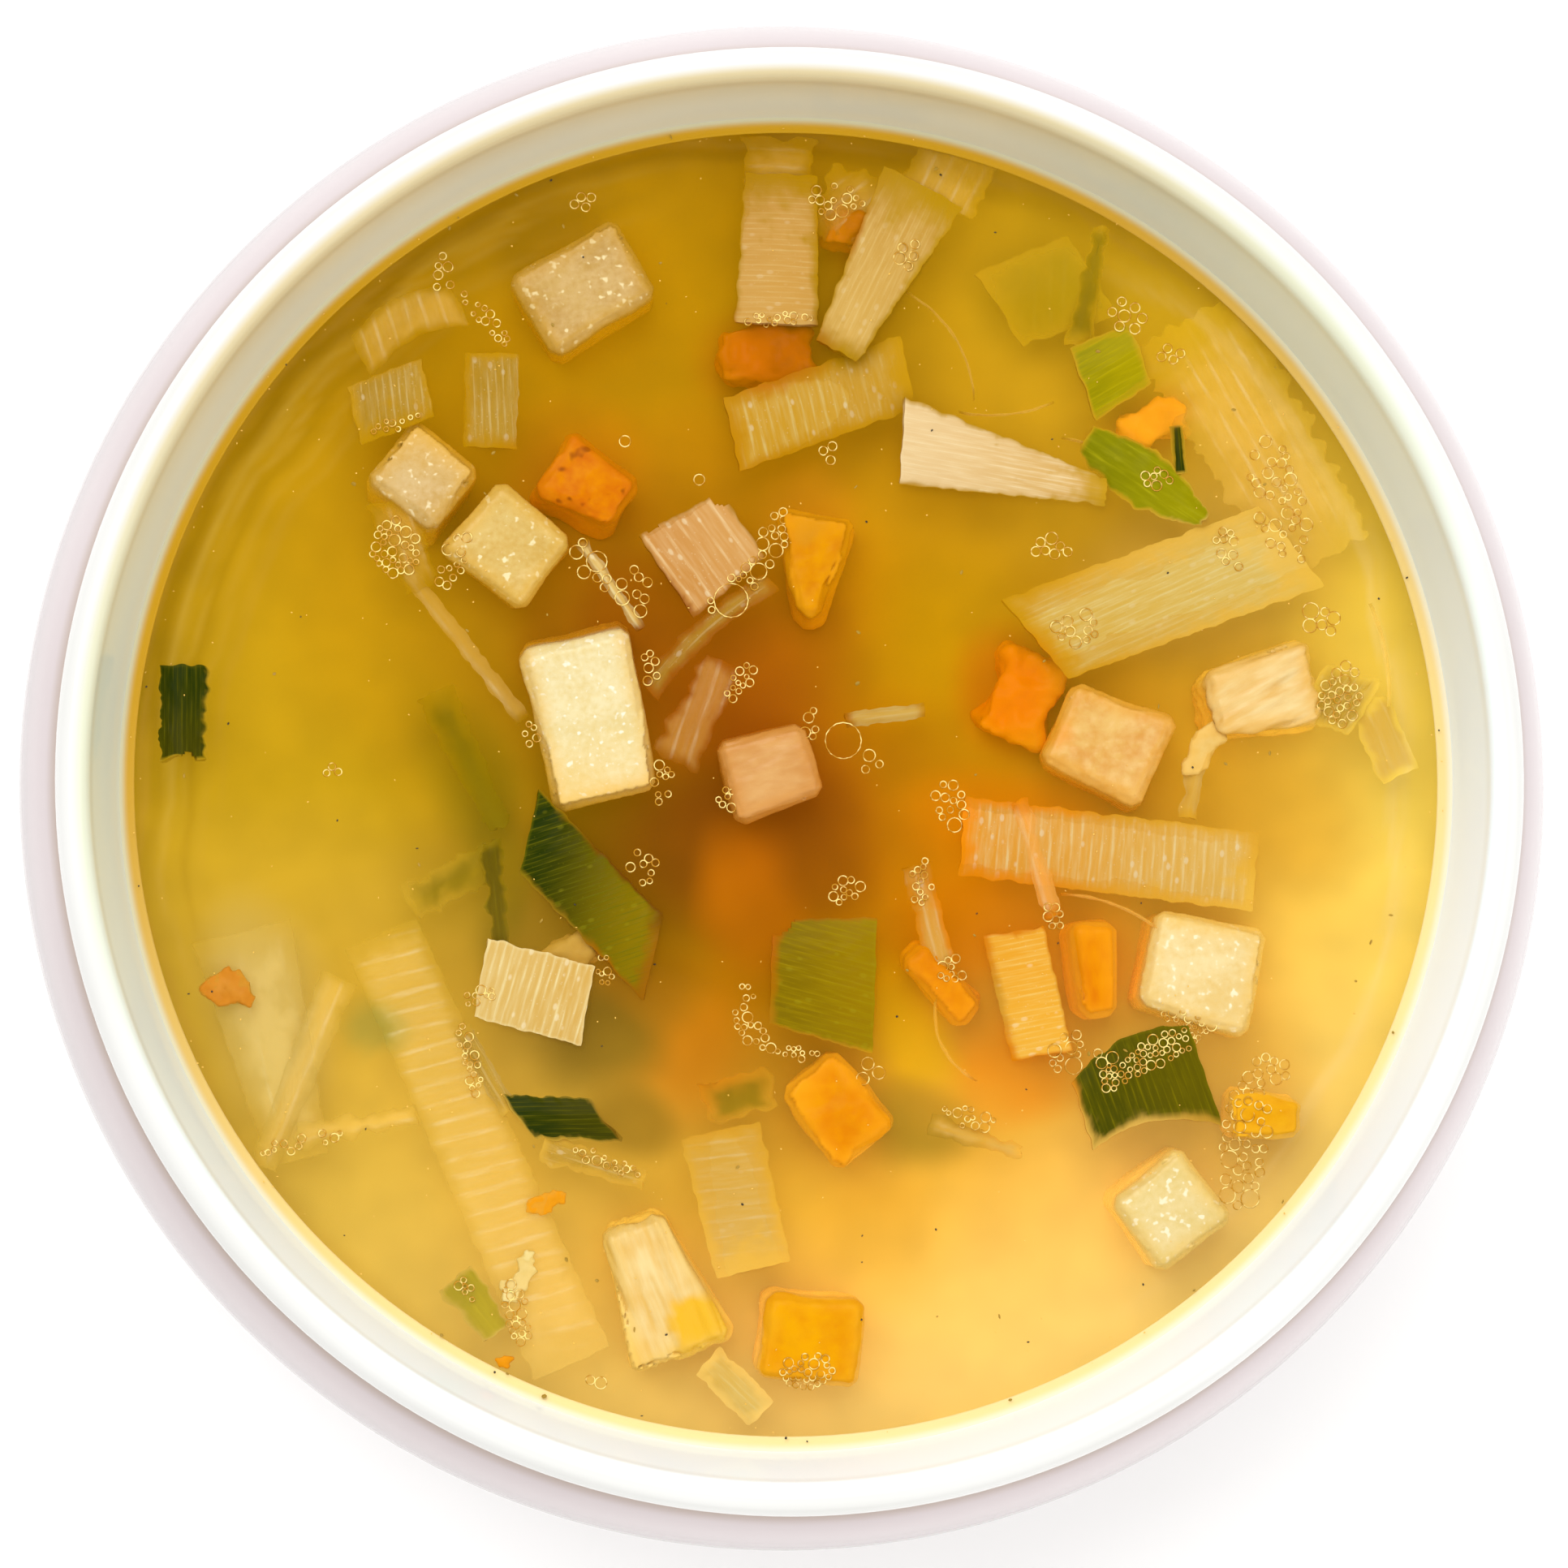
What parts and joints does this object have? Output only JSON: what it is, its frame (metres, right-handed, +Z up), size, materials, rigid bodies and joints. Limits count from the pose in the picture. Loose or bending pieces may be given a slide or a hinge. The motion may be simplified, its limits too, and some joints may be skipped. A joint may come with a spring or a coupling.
{
  "type": "vegetable soup in a bowl",
  "caption": "Round-bellied stoneware bowl with a rolled rim, filled with clear golden soup in which diced potato, carrot, chicken and cut leek float",
  "frame": {"origin": "Centre of the foot ring's underside, on the bowl's axis, where it stands on the table", "axes": "+Z up along the bowl's axis; +X and +Y are level, with +X to the right and +Y away when the soup is seen from above"},
  "size_m": [0.1452, 0.1452, 0.07],
  "materials": {
    "bowl": "white glaze inside and over the rim, pale lilac-grey glaze outside",
    "broth": "clear golden liquid, wet and glossy",
    "potato": "cooked, moist, fine-grained cut faces",
    "chicken": "cooked, moist, fibrous cut faces",
    "carrot": "cooked, moist, faint radial grain",
    "leek_white": "translucent, wet, parallel veins",
    "leek_green": "wet leaf with parallel veins"
  },
  "bodies": {
    "root": {"bowl": "bowl", "broth": "broth", "potato_1": "potato", "potato_2": "potato", "potato_3": "potato", "potato_4": "potato", "potato_5": "potato", "potato_6": "potato", "potato_7": "potato", "potato_8": "potato", "chicken_1": "chicken", "chicken_2": "chicken", "carrot_1": "carrot", "carrot_2": "carrot", "carrot_3": "carrot", "carrot_4": "carrot", "carrot_5": "carrot", "carrot_6": "carrot", "carrot_7": "carrot", "leek_white_1": "leek_white", "leek_white_2": "leek_white", "leek_white_3": "leek_white", "leek_white_4": "leek_white", "leek_white_5": "leek_white", "leek_white_6": "leek_white", "leek_white_7": "leek_white", "leek_white_8": "leek_white", "leek_white_9": "leek_white", "leek_white_10": "leek_white", "leek_white_11": "leek_white", "leek_white_12": "leek_white", "leek_green_1": "leek_green", "leek_green_2": "leek_green", "leek_green_3": "leek_green", "leek_green_4": "leek_green", "leek_green_5": "leek_green", "leek_green_6": "leek_green", "leek_green_7": "leek_green"}
  },
  "joints": []
}
